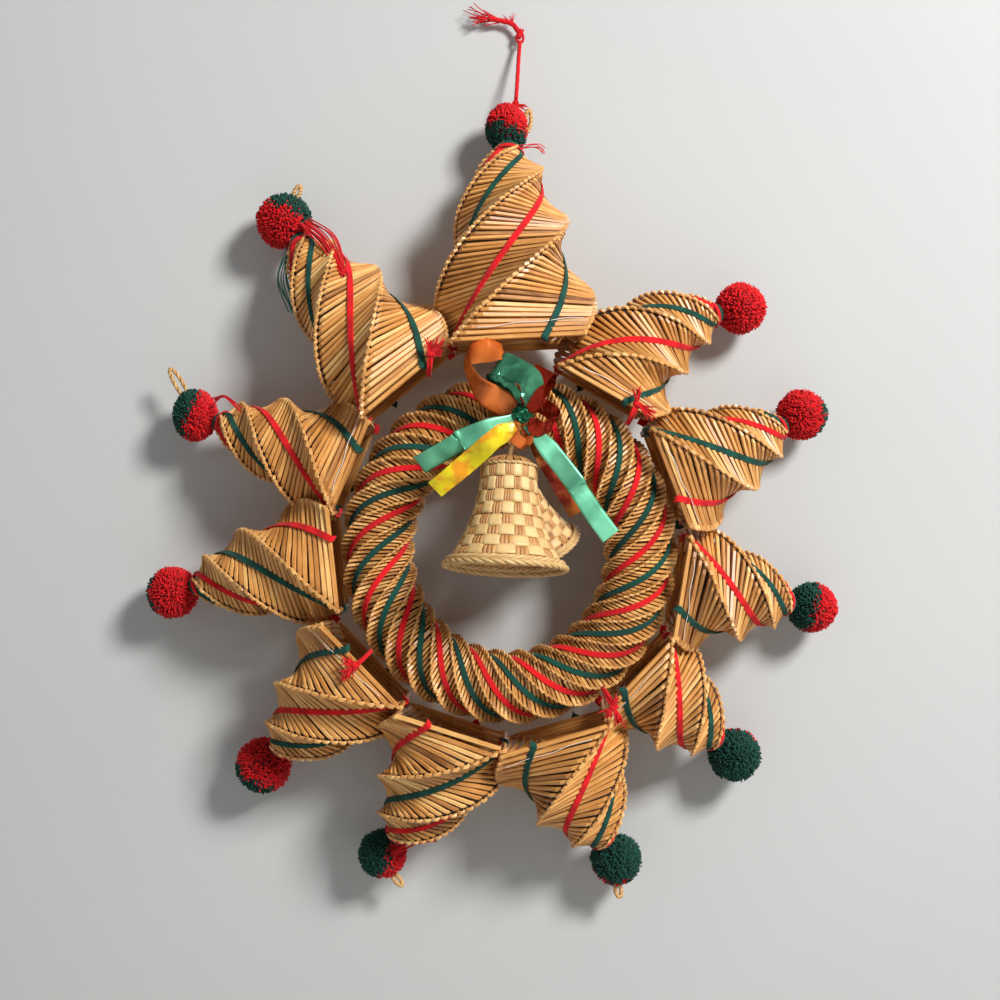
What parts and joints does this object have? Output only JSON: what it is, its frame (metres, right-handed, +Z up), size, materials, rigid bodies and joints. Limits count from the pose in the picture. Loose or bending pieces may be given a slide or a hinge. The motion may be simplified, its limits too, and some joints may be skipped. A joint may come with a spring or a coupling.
{
  "type": "straw ornament",
  "caption": "Wall-hung sun of spiral-plaited straw: a ring with twisted horns round it, yarn pompoms on the tips, woven bells and a foil bow in the middle.",
  "frame": {"origin": "the point on the wall where the hanging yarn goes over its nail", "axes": "+Z up, +X to the right seen from the front, +Y into the wall, so the front faces -Y"},
  "size_m": [0.4822, 0.1478, 0.6309],
  "materials": {
    "straw": "plaited round straw, satin",
    "palm": "woven flat leaf strips, satin",
    "yarn_red": "yarn, matt",
    "yarn_green": "yarn, matt",
    "foil_green": "metallised foil ribbon",
    "foil_orange": "metallised foil ribbon",
    "foil_red": "metallised foil ribbon",
    "foil_gold": "metallised foil ribbon"
  },
  "bodies": {
    "root": {"ring": "straw", "horn_1": "straw", "horn_2": "straw", "horn_3": "straw", "horn_4": "straw", "horn_5": "straw", "horn_6": "straw", "horn_7": "straw", "horn_8": "straw", "horn_9": "straw", "horn_10": "straw", "horn_11": "straw", "pompom_1": "yarn_red", "pompom_2": "yarn_red", "pompom_3": "yarn_red", "pompom_4": "yarn_green", "pompom_5": "yarn_green", "pompom_6": "yarn_green", "pompom_7": "yarn_green", "pompom_8": "yarn_red", "pompom_9": "yarn_red", "pompom_10": "yarn_red", "pompom_11": "yarn_red", "tip_eye_1": "straw", "tip_eye_6": "straw", "tip_eye_7": "straw", "tip_eye_10": "straw", "tip_eye_11": "straw", "yarn_knot_2": "yarn_red", "yarn_knot_5": "yarn_red", "yarn_knot_8": "yarn_red", "yarn_knot_11": "yarn_red", "bell_front": "palm", "bell_back": "palm", "bow_knot": "foil_green", "bow_loop_orange": "foil_orange", "bow_loop_green": "foil_green", "bow_loop_red": "foil_red", "bow_curl_red": "foil_red", "bow_curl_orange": "foil_orange", "bow_tail_green_left": "foil_green", "bow_tail_gold": "foil_gold", "bow_tail_green_right": "foil_green", "bow_tail_orange": "foil_orange", "hanger_yarn": "yarn_red", "hanger_knot": "yarn_red"}
  },
  "joints": []
}
